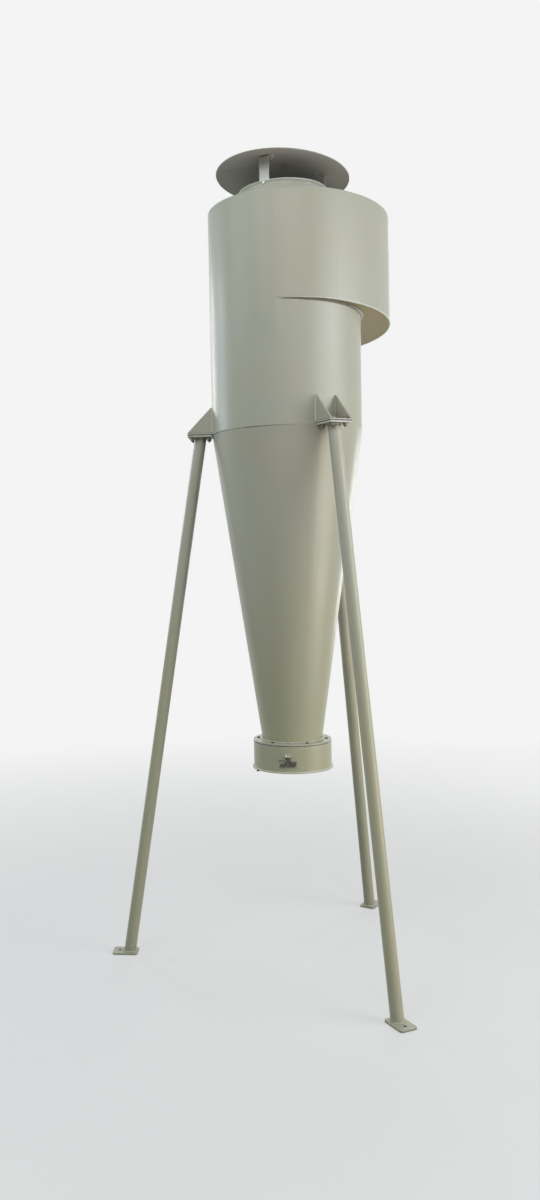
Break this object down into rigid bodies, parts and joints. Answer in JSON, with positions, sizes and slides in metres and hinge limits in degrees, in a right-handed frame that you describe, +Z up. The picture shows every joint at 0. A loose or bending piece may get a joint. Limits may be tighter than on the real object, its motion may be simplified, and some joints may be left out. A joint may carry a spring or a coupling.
{
  "type": "cyclone separator",
  "caption": "Cream painted steel dust cyclone with a scroll inlet, weather cap, long cone, flanged discharge collar and raked tube legs on foot plates.",
  "frame": {"origin": "the centre of the circle of anchor holes, on the cyclone's axis, at the underside of the foot plates", "axes": "+Z up the cyclone's axis, -X out of the inlet's mouth, -Y to the front, where the scroll starts"},
  "size_m": [1.1958, 1.4317, 3.2117],
  "materials": {
    "body_paint": "cream paint, semi-gloss with light orange peel, dirt at the welds",
    "cap_paint": "cream paint, dusty and dull",
    "stand_paint": "cream paint, semi-gloss, scuffed at the feet",
    "gasket_rubber": "matt black",
    "dark_steel": "dark, worn"
  },
  "bodies": {
    "root": {"body_cylinder": "body_paint", "cone": "body_paint", "scroll_wall": "body_paint", "inlet_inner_wall": "body_paint", "scroll_floor": "body_paint", "roof_plate": "body_paint", "inlet_flange": "body_paint", "outlet_pipe": "body_paint", "cone_flange": "body_paint", "collar_ring": "body_paint", "collar": "body_paint", "latch_catch": "body_paint", "weather_cap": "cap_paint", "cap_strap_1": "cap_paint", "cap_strap_2": "cap_paint", "cap_strap_3": "cap_paint", "bracket_plate_1": "stand_paint", "gusset_1_left": "stand_paint", "gusset_1_right": "stand_paint", "leg_plate_1": "stand_paint", "leg_tube_1": "stand_paint", "foot_plate_1": "stand_paint", "bracket_plate_2": "stand_paint", "gusset_2_left": "stand_paint", "gusset_2_right": "stand_paint", "leg_plate_2": "stand_paint", "leg_tube_2": "stand_paint", "foot_plate_2": "stand_paint", "bracket_plate_3": "stand_paint", "gusset_3_left": "stand_paint", "gusset_3_right": "stand_paint", "leg_plate_3": "stand_paint", "leg_tube_3": "stand_paint", "foot_plate_3": "stand_paint", "gasket": "gasket_rubber", "latch_lever": "dark_steel"}
  },
  "joints": []
}
